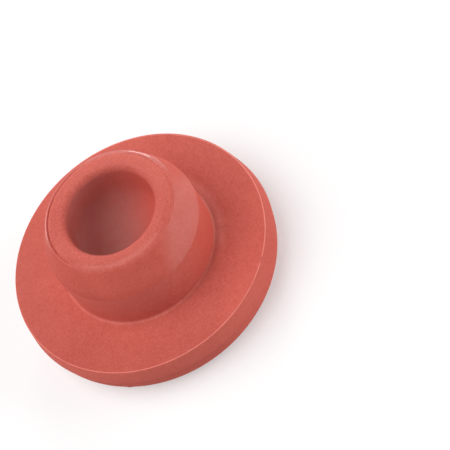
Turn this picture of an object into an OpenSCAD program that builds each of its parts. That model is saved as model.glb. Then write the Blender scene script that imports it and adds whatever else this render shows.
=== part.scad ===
// Rubber stopper for a small crimped vial: a die-cut flange with a raised
// target ring, and a hollow plug with a lead-in cone and a rounded mouth.
// It stands on its target ring, plug up. Millimetres, axis on Z.

/* [Flange] */
// Largest diameter, at the ledge under the cut band
flange_d = 12.5; // [11.5:0.1:14]
// Thickness from the target face to the plug side
flange_t = 2.1; // [1.9:0.05:3]
// Height of the die-cut band below the sharp edge
cut_h = 0.86; // [0.4:0.02:0.9]
// How far the cut band leans in towards the sharp edge
cut_lean = 0.15; // [0.05:0.01:0.3]
// Width of the ledge that the die leaves on the moulded side
ledge_w = 0.09; // [0.04:0.01:0.2]
// Radius of the moulded edge round the target face
edge_r = 0.9; // [0.4:0.05:0.95]

/* [Target ring] */
// Diameter of the ring, along its crest
ring_d = 4.84; // [3:0.1:8]
// Radius of the bead's round crest
bead_r = 0.14; // [0.12:0.01:0.3]
// Height of the crest above the target face
bead_h = 0.1; // [0.06:0.01:0.12]

/* [Plug] */
// Diameter of the neck, which seals in the vial's mouth
plug_d = 7.3; // [6.8:0.1:8.5]
// Height above the flange
plug_h = 3.8; // [3:0.05:5]
// Height of the neck, from the flange to the ridge
neck_h = 2.1; // [1.2:0.01:2.4]
// How far the lead-in cone draws in from the ridge to the tip
lead_in = 0.6; // [0.2:0.02:0.7]
// Radius that softens the ridge
ridge_r = 1; // [0.2:0.1:1.4]
// Radius round the outside of the tip
tip_r = 0.28; // [0.1:0.02:0.34]
// Radius of the fillet at the root
root_r = 0.06; // [0.03:0.01:0.4]

/* [Cavity] */
// Width of the rim, from the tip's outer corner to the mouth
rim_w = 0.92; // [0.8:0.02:1.3]
// Radius of the rounded mouth
lip_r = 0.36; // [0.1:0.02:0.4]
// Thickness left to pierce, from the target face to the cavity floor
septum_t = 2.7; // [2:0.05:3.2]
// How far the cavity wall draws in from the mouth to the floor
cavity_draft = 0.12; // [0.05:0.01:0.25]
// Radius between the cavity wall and its floor, which makes it a bowl
floor_r = 1.8; // [0.2:0.05:1.9]

/* [Hidden] */
$fn = 144;

// Levels, from the crest of the ring up
z_face = bead_h;
z_flange = z_face + flange_t;
z_ledge = z_flange - cut_h;
z_ridge = z_flange + neck_h;
z_tip = z_flange + plug_h;
z_floor = z_face + septum_t;

// Corners of the half section, as [radius, height]
face_axis = [0, z_face];
face_corner = [flange_d / 2 - ledge_w, z_face];
side_top = [face_corner.x, z_ledge];
ledge = [flange_d / 2, z_ledge];
cut_edge = [ledge.x - cut_lean, z_flange];
root = [plug_d / 2, z_flange];
ridge = [root.x, z_ridge];
tip = [ridge.x - lead_in, z_tip];
tip_axis = [0, z_tip];
mouth = [tip.x - rim_w, z_tip];
floor_corner = [mouth.x - cavity_draft, z_floor];
floor_axis = [0, z_floor];

// The floor's round stops short of the axis and of the mouth's round
floor_reach = 0.95;
floor_round = min(floor_r, floor_reach * floor_corner.x, floor_reach * (z_tip - z_floor - lip_r));

// A round of radius r in the corner at p, between its neighbours a and b:
// its centre, and where it meets the side towards a
function unit(v) = v / norm(v);
function half_angle(p, a, b) = acos(unit(a - p) * unit(b - p)) / 2;
function centre(p, a, b, r) =
    p + unit(unit(a - p) + unit(b - p)) * r / sin(half_angle(p, a, b));
function touch(p, a, b, r) = p + unit(a - p) * r / tan(half_angle(p, a, b));

// An outer corner of an outline is cut back to the centre of its round, and
// disc() then makes the arc
function cut_back(p, a, b, r) = [touch(p, a, b, r), centre(p, a, b, r), touch(p, b, a, r)];

module disc(p, a, b, r) {
    translate(centre(p, a, b, r)) circle(r = r);
}

// What fills an inner corner up to its round
module fillet(p, a, b, r) {
    difference() {
        polygon([p, each cut_back(p, a, b, r)]);
        disc(p, a, b, r);
    }
}

module flange_section() {
    polygon([
        face_axis,
        each cut_back(face_corner, face_axis, side_top, edge_r),
        side_top,
        ledge,
        cut_edge,
        [0, z_flange]
    ]);
    disc(face_corner, face_axis, side_top, edge_r);
    translate([ring_d / 2, bead_r]) circle(r = bead_r);
}

module plug_section() {
    polygon([
        face_axis,
        [root.x, z_face],
        each cut_back(ridge, root, tip, ridge_r),
        each cut_back(tip, ridge, tip_axis, tip_r),
        tip_axis
    ]);
    disc(ridge, root, tip, ridge_r);
    disc(tip, ridge, tip_axis, tip_r);
    fillet(root, cut_edge, ridge, root_r);
}

module cavity_section() {
    polygon([
        floor_axis,
        each cut_back(floor_corner, floor_axis, mouth, floor_round),
        mouth,
        tip_axis
    ]);
    disc(floor_corner, floor_axis, mouth, floor_round);
    fillet(mouth, floor_corner, tip, lip_r);
}

module stopper() {
    color([0.80, 0.36, 0.32])
        rotate_extrude()
            difference() {
                union() {
                    flange_section();
                    plug_section();
                }
                cavity_section();
            }
}

stopper();
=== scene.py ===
import math

import bmesh
import bpy
from mathutils import Matrix, Vector


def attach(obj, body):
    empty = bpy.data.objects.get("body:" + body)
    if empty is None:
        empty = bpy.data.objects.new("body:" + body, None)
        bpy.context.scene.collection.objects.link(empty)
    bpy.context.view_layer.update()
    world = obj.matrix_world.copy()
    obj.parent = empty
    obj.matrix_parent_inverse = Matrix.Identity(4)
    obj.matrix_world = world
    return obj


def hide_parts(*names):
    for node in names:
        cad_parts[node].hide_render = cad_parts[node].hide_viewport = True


mm = 0.001
tiny = 1e-7  # m; points nearer to each other than this are in one place

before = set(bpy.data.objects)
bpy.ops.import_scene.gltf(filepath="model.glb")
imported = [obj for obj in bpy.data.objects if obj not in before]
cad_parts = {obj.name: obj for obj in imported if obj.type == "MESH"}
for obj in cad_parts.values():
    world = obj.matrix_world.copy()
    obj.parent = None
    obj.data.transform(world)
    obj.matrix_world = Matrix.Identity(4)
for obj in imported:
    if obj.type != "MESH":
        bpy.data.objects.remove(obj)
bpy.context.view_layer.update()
bpy.ops.object.select_all(action="DESELECT")
print("frame loaded")


def editMode(piece, mode="VERT"):
    bpy.context.view_layer.objects.active = piece
    bpy.ops.object.mode_set(mode="EDIT")
    bpy.ops.mesh.select_mode(type=mode)


def selectWhere(piece, test):
    # points by their place; edges and faces follow from them
    bpy.ops.mesh.select_mode(type="VERT")
    bpy.ops.mesh.select_all(action="DESELECT")
    shape = bmesh.from_edit_mesh(piece.data)
    found = 0
    for v in shape.verts:
        if test(v.co):
            v.select_set(True)
            found += 1
    shape.select_flush(True)
    bmesh.update_edit_mesh(piece.data)
    return found


# the half section in mm, standing on the target ring
stopperSize = {
    "flange": 6.25,  # radius at the ledge under the cut band
    "ledge": 0.09,
    "flangeTop": 2.2,
    "cutHeight": 0.86,
    "cutLean": 0.15,
    "cutMargin": 0.12,  # strip of the face that the die's edge drags down with it
    "face": 0.1,  # height of the target face above the ring's crest
    "edgeRound": 0.9,
    "ring": 2.42,
    "ringFoot": 0.165,  # half the bead's width at its foot
    "ringCrest": 0.055,
    "foot": 3.62,  # the plug's radius where it meets the flange
    "neck": 3.67,  # and at the ridge
    "ridge": 4.3,
    "bend": (3.615, 4.68),  # the cone bulges a little above the ridge
    "shoulder": (3.11, 5.8),
    "lip": (3.02, 5.855),
    "groove": (2.95, 5.8),  # mould line round the rim
    "rim": 2.86,
    "mouth": 2.13,
    "mouthRound": 0.36,
    "tip": 6.0,
    "cavityFloor": 2.8,
    "bowl": 1.8,  # radius between the cavity wall and its floor
    "draft": 0.12,
    "grain": 0.3,  # longest edge left along the section
    "steps": 600,
}


def sectionCorners(s):
    # radius, height, round, segments
    side = s["flange"] - s["ledge"]
    ledgeLevel = s["flangeTop"] - s["cutHeight"]
    return [
        (0, s["face"], 0, 0),
        (s["ring"] - s["ringFoot"], s["face"], 0.08, 3),
        (s["ring"] - s["ringCrest"], 0, 0.09, 4),
        (s["ring"] + s["ringCrest"], 0, 0.09, 4),
        (s["ring"] + s["ringFoot"], s["face"], 0.08, 3),
        (side, s["face"], s["edgeRound"], 16),
        (side, ledgeLevel, 0.03, 2),
        (s["flange"], ledgeLevel, 0.025, 2),
        (s["flange"] - s["cutLean"], s["flangeTop"], 0.03, 3),
        (s["flange"] - s["cutLean"] - s["cutMargin"], s["flangeTop"], 0, 0),
        (s["foot"], s["flangeTop"], 0.1, 5),
        (s["neck"], s["ridge"], 0.4, 4),
        (*s["bend"], 1.2, 8),
        (*s["shoulder"], 0.1, 5),
        (*s["lip"], 0.02, 3),
        (*s["groove"], 0.012, 2),
        (s["rim"], s["tip"], 0.3, 10),
        (s["mouth"], s["tip"], s["mouthRound"], 10),
        (s["mouth"] - s["draft"], s["cavityFloor"], s["bowl"], 22),
        (0, s["cavityFloor"], 0, 0),
    ]


def roundCorner(piece, before, corner, after):
    # the bevel's offset is where the round meets its two sides
    radius, height, size, segments = corner
    here = Vector((radius, height))
    opening = (Vector(before[:2]) - here).angle(Vector(after[:2]) - here)
    selectWhere(piece, lambda p: abs(p.x - radius * mm) < tiny and abs(p.z - height * mm) < tiny)
    bpy.ops.mesh.bevel(
        offset=size * mm / math.tan(opening / 2),
        segments=segments,
        affect="VERTICES",
        offset_type="OFFSET",
    )


def subdivideLong(piece, longest):
    # each straight stretch is cut into even parts no longer than that
    same = tiny / 50
    shape = bmesh.from_edit_mesh(piece.data)
    lengths = sorted({round(e.calc_length(), 9) for e in shape.edges if e.calc_length() > longest})
    for length in lengths:
        bpy.ops.mesh.select_all(action="DESELECT")
        shape = bmesh.from_edit_mesh(piece.data)
        for e in shape.edges:
            if abs(e.calc_length() - length) < same:
                e.select_set(True)
        bmesh.update_edit_mesh(piece.data)
        bpy.ops.mesh.subdivide(number_cuts=math.ceil(length / longest) - 1)


def makeStopper(s):
    corners = sectionCorners(s)
    bpy.ops.mesh.primitive_plane_add(size=s["flange"] * mm, location=(0, 0, 0))
    piece = bpy.context.object
    piece.name = "stopper-body"
    editMode(piece)
    bpy.ops.mesh.select_all(action="SELECT")
    bpy.ops.mesh.merge(type="CENTER")
    at = (0, 0)
    for number, (radius, height, *_) in enumerate(corners):
        step = ((radius - at[0]) * mm, 0, (height - at[1]) * mm)
        if number == 0:
            bpy.ops.transform.translate(value=step)
        else:
            bpy.ops.mesh.extrude_region_move(TRANSFORM_OT_translate={"value": step})
        at = (radius, height)
    for before, corner, after in zip(corners, corners[1:], corners[2:]):
        roundCorner(piece, before, corner, after)
    editMode(piece, "EDGE")
    subdivideLong(piece, s["grain"] * mm)
    bpy.ops.mesh.select_all(action="SELECT")
    bpy.ops.mesh.spin(steps=s["steps"], angle=math.tau, center=(0, 0, 0), axis=(0, 0, 1))
    editMode(piece)
    bpy.ops.mesh.select_all(action="SELECT")
    bpy.ops.mesh.remove_doubles(threshold=2 * tiny)
    bpy.ops.mesh.normals_make_consistent(inside=False)
    return piece


stopper = makeStopper(stopperSize)
print("stopper spun")


# what a real part has more than its drawing: the die cut runs off centre and out of round, the
# core pin and the tip stand to one side, and the mould line is partly filled; in mm
wear = {
    "cutShift": (-0.049, 0, 0),
    "cutStretch": (45, 0.047, -0.013),  # azimuth, more along it, more across it
    "cutReach": 1.2,
    "coreShift": (-0.014, -0.055, 0),
    "coreReach": 0.3,
    "grooveFill": (281, (96, 88, 80)),  # azimuth, degrees to either side in steps
    "grooveStep": (0, 0, 0.03),
    "grooveReach": 0.12,
    "lean": (0.056, 0.027, 0),
}

# small marks: azimuth, radius, height, size of the spot, push out, push up, reach of the pull
marks = {
    "stepInCut": (-49, 6.13, 2.2, 0.11, -0.04, 0, 0.14),
    "nubUnderFlange": (-132.4, 6.16, 0.9, 0.1, 0.05, 0, 0.2),
    "nickAtRoot": (168.8, 3.71, 2.2, 0.08, 0.03, -0.04, 0.12),
    "crumbOnFlange": (-25.5, 4.04, 2.2, 0.14, 0, 0.05, 0.16),
    "nickOnRidge": (10.4, 3.63, 4.3, 0.08, -0.05, 0, 0.14),
}


def pull(piece, test, by, reach, falloff="SMOOTH"):
    found = selectWhere(piece, test)
    bpy.ops.transform.translate(
        value=[part * mm for part in by],
        use_proportional_edit=True,
        proportional_edit_falloff=falloff,
        proportional_size=reach * mm,
    )
    return found


def mark(piece, azimuth, radius, height, size, out, up, reach):
    turn = math.radians(azimuth)
    there = Vector((radius * math.cos(turn), radius * math.sin(turn), height)) * mm
    by = (out * math.cos(turn), out * math.sin(turn), up)
    return pull(piece, lambda p: (p - there).length < size * mm, by, reach)


def stretch(piece, test, azimuth, along, across, radius, reach):
    # out of round: longer along the azimuth than across it
    selectWhere(piece, test)
    bpy.ops.transform.resize(
        value=(1 + along / radius, 1 + across / radius, 1),
        orient_type="GLOBAL",
        orient_matrix_type="GLOBAL",
        orient_matrix=Matrix.Rotation(math.radians(azimuth), 3, "Z"),
        center_override=(0, 0, 0),
        use_proportional_edit=True,
        proportional_edit_falloff="SMOOTH",
        proportional_size=reach * mm,
    )


def inCore(p):
    s = stopperSize
    rim = s["mouth"] + s["mouthRound"] + 0.01
    return p.z > (s["cavityFloor"] - 0.05) * mm and p.xy.length < rim * mm


def inGroove(azimuth, spread):
    # the groove's own points, also once they are up, within that many degrees of the azimuth
    turn = math.radians(azimuth)
    radius, height = stopperSize["groove"]

    def test(p):
        here = abs(p.xy.length - radius * mm) < 0.013 * mm and -0.02 * mm < p.z - height * mm < 0.1 * mm
        return here and p.xy.angle(Vector((math.cos(turn), math.sin(turn)))) < math.radians(spread)

    return test


def atTip(p):
    return p.z > (stopperSize["tip"] - 0.01) * mm


def onCutEdge(p):
    s = stopperSize
    edge = s["flange"] - s["cutLean"]
    return abs(p.xy.length - edge * mm) < 0.05 * mm and p.z > (s["flangeTop"] - 0.05) * mm


def wearDown(piece, s, w):
    pull(piece, onCutEdge, w["cutShift"], s["cutHeight"], "LINEAR")
    stretch(piece, onCutEdge, *w["cutStretch"], s["flange"], w["cutReach"])
    pull(piece, inCore, w["coreShift"], w["coreReach"])
    azimuth, spreads = w["grooveFill"]
    for spread in spreads:
        pull(piece, inGroove(azimuth, spread), w["grooveStep"], w["grooveReach"])
    pull(piece, atTip, w["lean"], s["tip"] - s["flangeTop"], "LINEAR")


wearDown(stopper, stopperSize, wear)
for name, place in marks.items():
    print(name, mark(stopper, *place), "points")
bpy.ops.object.mode_set(mode="OBJECT")
bpy.ops.object.shade_smooth_by_angle(angle=math.radians(40))
print("stopper marked:", len(stopper.data.polygons), "faces")


# shader maths as expressions
class Field:
    def __init__(self, tree, socket=None):
        self.tree, self.socket = tree, socket

    def node(self, kind, settings=None, inputs=None, output=0):
        made = self.tree.nodes.new(kind)
        for name, value in (settings or {}).items():
            setattr(made, name, value)
        for name, value in (inputs or {}).items():
            if isinstance(value, Field):
                self.tree.links.new(value.socket, made.inputs[name])
            else:
                made.inputs[name].default_value = value
        return Field(self.tree, made.outputs[output]) if made.outputs else None

    def math(self, operation, first, second=0.0):
        return self.node("ShaderNodeMath", {"operation": operation}, {0: first, 1: second})

    def __add__(self, other):
        return self.math("ADD", self, other)

    __radd__ = __add__

    def __mul__(self, other):
        return self.math("MULTIPLY", self, other)

    __rmul__ = __mul__

    def __sub__(self, other):
        return self.math("SUBTRACT", self, other)

    def __rsub__(self, other):
        return self.math("SUBTRACT", other, self)

    def vector(self, operation, other=(0, 0, 0), output=0):
        return self.node("ShaderNodeVectorMath", {"operation": operation}, {0: self, 1: other}, output)

    def part(self, axis):
        return self.node("ShaderNodeSeparateXYZ", None, {0: self}, axis)

    def fromAxis(self):
        return self.vector("MULTIPLY", (1, 1, 0)).vector("LENGTH", output="Value")

    def toward(self, azimuth):
        # how far a point lies out to that side
        turn = math.radians(azimuth)
        return self.vector("DOT_PRODUCT", (math.cos(turn), math.sin(turn), 0), "Value")

    def rise(self, low, high):
        # 0 up to low, then smoothly to 1 at high
        limits = {"Value": self, "From Min": low, "From Max": high}
        return self.node("ShaderNodeMapRange", {"interpolation_type": "SMOOTHSTEP"}, limits)

    def within(self, low, lowFull, highFull, high):
        # 0 outside low and high, 1 between the two full ones
        return self.rise(low, lowFull) * (1 - self.rise(highFull, high))

    def near(self, middle, reach):
        # 1 at the middle, smoothly to 0 at that reach on both sides
        return 1 - self.math("ABSOLUTE", self - middle).rise(0, reach)

    def noise(self, scale, detail=2.0, roughness=0.5):
        finish = {"Vector": self, "Scale": scale, "Detail": detail, "Roughness": roughness}
        return self.node("ShaderNodeTexNoise", None, finish)

    def mix(self, first, second, share):
        # the first colour turns into the second one as the share goes to 1
        return self.node("ShaderNodeMix", {"data_type": "RGBA"}, {0: share, 6: first, 7: second}, 2)


def newMaterial(name):
    made = bpy.data.materials.new(name)
    made.use_nodes = True
    made.node_tree.nodes.clear()
    return made, Field(made.node_tree)


rubberFinish = {
    "deep": (0.505, 0.087, 0.066, 1),
    "pale": (0.665, 0.151, 0.117, 1),
    "speck": (0.84, 0.3, 0.26, 1),  # fine pale specks all over
    "pit": (0.38, 0.055, 0.04, 1),  # and dark ones
    "inner": (0.62, 0.106, 0.078, 1),  # painted light: a clearer red on the cavity's lit side
    "cavityShadeFloor": (0.55, 0.24, 0.215, 1),  # painted shade: greyer on the cavity's floor on its shaded side
    "cavityShadeWall": (0.57, 0.175, 0.15, 1),  # and lighter painted shade on its wall
    "hollow": (0.38, 0.085, 0.065, 1),  # painted shade: the wall's darker side
    "cone": (0.62, 0.09, 0.06, 1),  # a clearer red, on the cone and part of the neck
    "coneSheen": (0.66, 0.18, 0.15, 1),  # painted sheen: paler and duller on the cone's right side
    "rimRoundGlint": (0.74, 0.22, 0.19, 1),  # painted highlight: a pale band on the rim's round
    "darkRed": (0.42, 0.07, 0.05, 1),  # a darker red: painted shade on the cone's left side and in the mould line, the plug's painted shadow on the flange's front, and on the front of the mouth's edge
    "clear": (0.71, 0.118, 0.086, 1),  # part of the flange
    "footLight": (0.73, 0.215, 0.175, 1),  # painted light on the flange beside the plug's foot, lifting its shade
    "footGlint": (0.74, 0.25, 0.21, 1),  # painted highlight along the plug's foot
    "footShadow": (0.42, 0.1, 0.075, 1),  # painted shadow at the plug's foot, on the side where it has no highlight
    "cut": (0.66, 0.143, 0.109, 1),  # bare rubber that the die has cut
    # painted highlight along the cut edge
    "cutEdgeGlint": (0.85, 0.27, 0.22, 1),
    "roughness": 0.68,
    "specular": 0.1,
    "relief": 0.006,  # mm
    "polish": 0.9,  # gloss coat on the lip, where the mould was polished
    "polishRoughness": 0.17,
    "refraction": 1.5,
}

# azimuth of a zone's middle, and how far out to that side it begins and is full, in mm
zones = {
    "cavityShadeSide": (150, -2, 1.5),  # in the cavity; the first two place its painted shade
    "lighterWallShade": (60, -1.2, 1.9),
    "mouthEdge": (-110, 0.3, 1.6),
    "coneSheen": (-42, 2.5, 3.2),  # on the cone: painted sheen, then painted shade
    "shaded": (-175, 2.4, 3.1),
    "warm": (-110, 1.5, 3.5),  # on the neck
    "bright": (-15, 1.4, 3.4),
    "groove": (100, -0.3, 1),  # at the tip: painted shade in the mould line, painted light and a painted highlight on the rim, and the gloss coat
    "rimFarLight": (50, 0.2, 2.3),
    "rimBand": (-110, 1.8, 2.6),
    "gleam": (35, 2, 3),
    "thinGleam": (120, 1.4, 2.2),
    "paleFlange": (120, 1, 5),  # on the flange, with the plug's painted shadow and painted light and shadow at its foot
    "frontShadow": (-127, 3.2, 5.6),
    "clear": (-42, 3.8, 5.8),
    "litBesideFoot": (0, 2.6, 3.4),
    "footShadowSide": (-50, 2.2, 3.2),
    "farCut": (-15, 4.2, 5.8),
}

# scale, detail, roughness
noises = {
    "clouds": (0.7, 2.0, 0.5),
    "mottle": (2.4, 3.0, 0.5),
    "fine": (9.0, 3.0, 0.6),
    "streaks": (11.0, 2.0, 0.5),
    "grains": (13.0, 2.0, 0.6),
    "pores": (30.0, 2.0, 0.5),
}


def zone(place, name):
    azimuth, start, full = zones[name]
    return place.toward(azimuth).rise(start, full)


# the next three say where things are: 1 on them and 0 elsewhere


def cavityMasks(place, height, radius, s):
    mouth, tip, lip, floor = s["mouth"], s["tip"], s["lip"][1], s["cavityFloor"]
    cavity = 1 - radius.rise(mouth - 0.1, mouth + 0.25)
    cavity = cavity * height.within(floor - 1, floor - 0.5, tip - 0.4, tip - 0.05)
    cavityShadeSide = zone(place, "cavityShadeSide")
    edge = radius.near(mouth + 0.02, 0.14) * height.rise(lip - 0.25, lip)
    return {
        "cavity": cavity,
        "cavityLitSide": cavity * (1 - cavityShadeSide),
        "cavityShaded": cavity * cavityShadeSide,
        "low": 1 - height.rise(tip - 2.1, tip - 0.7),
        "lighterWallShade": zone(place, "lighterWallShade"),
        "mouthEdge": edge * zone(place, "mouthEdge"),
    }


def plugMasks(place, height, radius, s):
    top, foot, ridge, rim, tip = s["flangeTop"], s["foot"], s["ridge"], s["rim"], s["tip"]
    groove, lip = s["groove"][0], s["lip"][1]
    cone = height.within(ridge - 0.03, ridge + 0.05, lip - 0.05, lip) * radius.rise(groove, groove + 0.04)
    neck = height.within(top + 0.05, top + 0.15, ridge - 0.05, ridge) * radius.rise(foot - 0.12, foot - 0.02)
    rimRound = height.rise(lip - 0.1, lip + 0.05) * (1 - radius.rise(groove - 0.03, groove))
    rimEdge = rimRound * radius.rise(rim - 0.2, rim - 0.08)
    line = radius.near(groove, 0.04) * height.within(lip - 0.15, lip - 0.1, lip - 0.03, lip)
    shoulder = radius.rise(groove + 0.02, groove + 0.06) * height.rise(lip - 0.24, lip - 0.1)
    lipCrest = radius.near(groove + 0.09, 0.09) * height.rise(lip - 0.15, lip - 0.1)
    gleam = shoulder * zone(place, "gleam") * 0.85 + lipCrest * zone(place, "thinGleam") * 0.9
    return {
        "cone": cone,
        "coneSheen": cone * zone(place, "coneSheen"),
        "shaded": cone * zone(place, "shaded"),
        "warm": neck * zone(place, "warm"),
        "bright": neck * zone(place, "bright"),
        "rimRound": rimRound,
        "rimBand": rimEdge * zone(place, "rimBand"),
        "rimFarLight": height.rise(tip - 0.1, tip - 0.02) * zone(place, "rimFarLight"),
        "groove": line * zone(place, "groove"),
        "gleam": gleam,
    }


def flangeMasks(place, height, radius, s):
    top, foot, neck, edge = s["flangeTop"], s["foot"], s["neck"], s["flange"]
    ledge = top - s["cutHeight"]
    flange = radius.rise(neck, neck + 0.4) * (1 - height.rise(top + 0.1, top + 0.2))
    footGlint = radius.near(foot + 0.09, 0.1) * height.within(top - 0.1, top - 0.01, top + 0.02, top + 0.1)
    footBand = radius.near(foot + 0.12, 0.3) * height.within(top - 0.1, top - 0.01, top + 0.1, top + 0.3)
    beside = height.within(top - 0.1, top - 0.01, top + 0.04, top + 0.12)
    beside = beside * (1 - radius.rise(foot + 0.25, foot + 0.7))
    band = radius.rise(edge - 0.35, edge - 0.3) * height.within(ledge - 0.01, ledge, top - 0.06, top - 0.01)
    cutCircle = place.vector("SUBTRACT", wear["cutShift"]).fromAxis()
    cutEdgeGlint = cutCircle.near(edge - s["cutLean"] - 0.01, 0.04) * height.rise(top - 0.06, top - 0.01)
    footShadowSide = zone(place, "footShadowSide")
    return {
        "paleFlange": flange * zone(place, "paleFlange"),
        "frontShadow": flange * zone(place, "frontShadow"),
        "clear": flange * zone(place, "clear"),
        "litBesideFoot": beside * zone(place, "litBesideFoot"),
        "footGlint": footGlint * (1 - footShadowSide),
        "footShadowSide": footBand * footShadowSide,
        "under": radius.rise(edge - 1.65, edge - 0.85) * height.within(0.12, 0.3, ledge - 0.05, ledge),
        "band": band,
        "cutEdgeGlint": cutEdgeGlint,
        "farCut": zone(place, "farCut"),
    }


def rubberMaterial(f, s):
    made, shade = newMaterial("red moulded rubber")
    place = shade.node("ShaderNodeTexCoord", output="Object").vector("MULTIPLY", (1 / mm,) * 3)
    height, radius = place.part("Z"), place.fromAxis()
    on = {}
    for masks in (cavityMasks, plugMasks, flangeMasks):
        on.update(masks(place, height, radius, s))

    clouds, mottle, fine, grains, pores = [
        place.noise(*noises[name]) for name in ("clouds", "mottle", "fine", "grains", "pores")
    ]
    streaks = place.vector("MULTIPLY", (1, 1, 0.1)).noise(*noises["streaks"])
    coarse = 1 + on["rimRound"] * 0.8 - on["cavity"] * 0.3

    share = 0.5 + (clouds - 0.5) * 0.4 + (mottle - 0.5) * 0.55 + (fine - 0.5) * 1.1
    colour = shade.mix(f["deep"], f["pale"], share)
    wall = shade.mix(f["hollow"], f["cavityShadeWall"], on["lighterWallShade"])
    shadeColour = shade.mix(wall, f["cavityShadeFloor"], on["low"])
    # each colour and how much of it there is, one over the other
    layers = [
        # the cavity: a clearer red on its lit side as painted light, greyer and darker on its shaded side as
        # painted shade
        (f["inner"], on["cavityLitSide"]),
        (shadeColour, on["cavityShaded"] * (0.65 + 0.6 * mottle)),
        (f["cone"], on["cone"] * 0.4),
        (f["pale"], on["warm"] * 0.25),
        (f["cone"], on["bright"] * 0.5),
        (f["darkRed"], on["mouthEdge"] * 0.35),
        (f["pale"], on["under"] * 0.3),
        # painted shade on the cone's left side and in the mould line round the rim
        (f["darkRed"], on["shaded"] * 0.4 + on["groove"] * 0.5),
        # painted sheen on the cone's right side
        (f["coneSheen"], on["coneSheen"] * (0.35 + 0.8 * mottle)),
        # painted light on the far side of the rim's top
        (f["pale"], on["rimFarLight"] * 0.5),
        # painted highlight on the rim's round
        (f["rimRoundGlint"], on["rimBand"] * 0.4),
        (f["pale"], on["paleFlange"] * 0.3),
        # the plug's painted shadow on the front of the flange
        (f["darkRed"], on["frontShadow"] * 0.35),
        (f["clear"], on["clear"] * 0.3),
        # painted light beside the plug's foot
        (f["footLight"], on["litBesideFoot"] * (0.6 + 0.5 * mottle)),
        # painted highlight along the plug's foot
        (f["footGlint"], on["footGlint"] * (0.1 + 0.5 * mottle)),
        # painted shadow at the plug's foot
        (f["footShadow"], on["footShadowSide"] * (0.2 + 0.4 * mottle)),
        # the cut band, with less of its pale colour on the right as painted shade
        (f["cut"], on["band"] * (1 - 0.6 * on["farCut"]) * (0.2 + 0.8 * streaks)),
        # painted highlight on the cut edge, stronger on the right
        (f["cutEdgeGlint"], on["cutEdgeGlint"] * (0.4 + 0.5 * on["farCut"] + 0.8 * mottle)),
        (f["speck"], grains.rise(0.42, 0.75) * coarse * 0.1),
        (f["pit"], (1 - grains.rise(0.25, 0.58)) * coarse * 0.12),
    ]
    for layer, amount in layers:
        colour = shade.mix(colour, layer, amount)

    relief = fine + mottle * 1.2 + pores * 0.3 + streaks * on["band"] * 1.5
    bump = shade.node("ShaderNodeBump", None, {"Distance": f["relief"] * mm, "Height": relief})
    skin = {
        "Base Color": colour,
        "Roughness": f["roughness"] + (mottle - 0.5) * 0.12 + on["cavity"] * 0.16 + on["band"] * 0.14,
        "IOR": f["refraction"],
        "Specular IOR Level": f["specular"],
        "Coat Weight": on["gleam"] * f["polish"],
        "Coat Roughness": f["polishRoughness"],
        "Coat IOR": f["refraction"],
        "Normal": bump,
    }
    surface = shade.node("ShaderNodeBsdfPrincipled", None, skin)
    shade.node("ShaderNodeOutputMaterial", None, {"Surface": surface})
    return made


stopper.data.materials.clear()
stopper.data.materials.append(rubberMaterial(rubberFinish, stopperSize))
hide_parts("stopper")
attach(stopper, "root")
print("rubber on")


studio = {
    "sheet": 2,  # m
    "paper": (0.8, 0.8, 0.8, 1),
    "white": (1, 1, 1, 1),  # how the paper looks to the camera and in gloss
    "fill": 0.4,  # how far the object's shadow on the paper is lightened
    "surround": 0.1,  # light from all round; 1 is white
}

# azimuth, elevation and width in degrees, and strength; 1 lights a face squarely to its colour
lamps = {
    "keyOnTheLeft": (170, 60, 74, 0.86),
    "lowPanelOnTheRight": (341, 10, 55, 0.74),
    "stripBehind": (62, 13, 18, 0.27),
    "stripBehindLeft": (118, 13, 18, 0.09),
}


def seenOrReflected(shade):
    # 1 for what the camera, gloss or glass sees, 0 for what lights a surface
    rays = ["Is Camera Ray", "Is Glossy Ray", "Is Transmission Ray"]
    seen, glossy, through = [shade.node("ShaderNodeLightPath", output=ray) for ray in rays]
    return shade.math("MAXIMUM", seen, shade.math("MAXIMUM", glossy, through))


def paperMaterial(look):
    made, shade = newMaterial("white paper")
    seen = seenOrReflected(shade)
    sheet = shade.mix(look["paper"], look["white"], seen)
    lit = shade.node("ShaderNodeBsdfDiffuse", None, {"Color": sheet})
    glow = shade.node("ShaderNodeEmission", None, {"Color": look["white"], "Strength": 1.0})
    surface = shade.node("ShaderNodeMixShader", None, {0: seen * look["fill"], 1: lit, 2: glow})
    shade.node("ShaderNodeOutputMaterial", None, {"Surface": surface})
    return made


def studioWorld(look):
    made = bpy.data.worlds.new("studio")
    made.use_nodes = True
    made.node_tree.nodes.clear()
    shade = Field(made.node_tree)
    strength = look["surround"] + (1 - look["surround"]) * seenOrReflected(shade)
    background = shade.node("ShaderNodeBackground", None, {"Color": look["white"], "Strength": strength})
    shade.node("ShaderNodeOutputWorld", None, {"Surface": background})
    return made


def addLamp(name, azimuth, elevation, width, power):
    turn = (0, math.radians(90 - elevation), math.radians(azimuth))
    bpy.ops.object.light_add(type="SUN", rotation=turn)
    lamp = bpy.context.object
    lamp.name = name
    lamp.data.angle = math.radians(width)
    lamp.data.energy = power * math.pi


bpy.ops.mesh.primitive_plane_add(size=studio["sheet"], location=(0, 0, 0))
floor = bpy.context.object
floor.name = "floor"
floor.data.materials.append(paperMaterial(studio))
bpy.context.scene.world = studioWorld(studio)
for name, settings in lamps.items():
    addLamp(name, *settings)
print("studio lit")


cameraSet = {
    "lens": 202.72,
    "place": (0.000019818, -0.068253831, 0.094541075),  # m
    "axes": (  # its right, its up and its back
        (0.78009021, -0.52245293, -0.34424149),
        (0.6248249, 0.62198717, 0.47193836),
        (-0.03245179, -0.58324515, 0.81164769),
    ),
    "clip": (0.01, 10),
}
bpy.ops.object.camera_add(location=cameraSet["place"])
camera = bpy.context.object
camera.rotation_euler = Matrix(cameraSet["axes"]).transposed().to_euler()
camera.data.lens = cameraSet["lens"]
camera.data.clip_start, camera.data.clip_end = cameraSet["clip"]
bpy.context.scene.camera = camera
bpy.context.scene.view_settings.view_transform = "Standard"
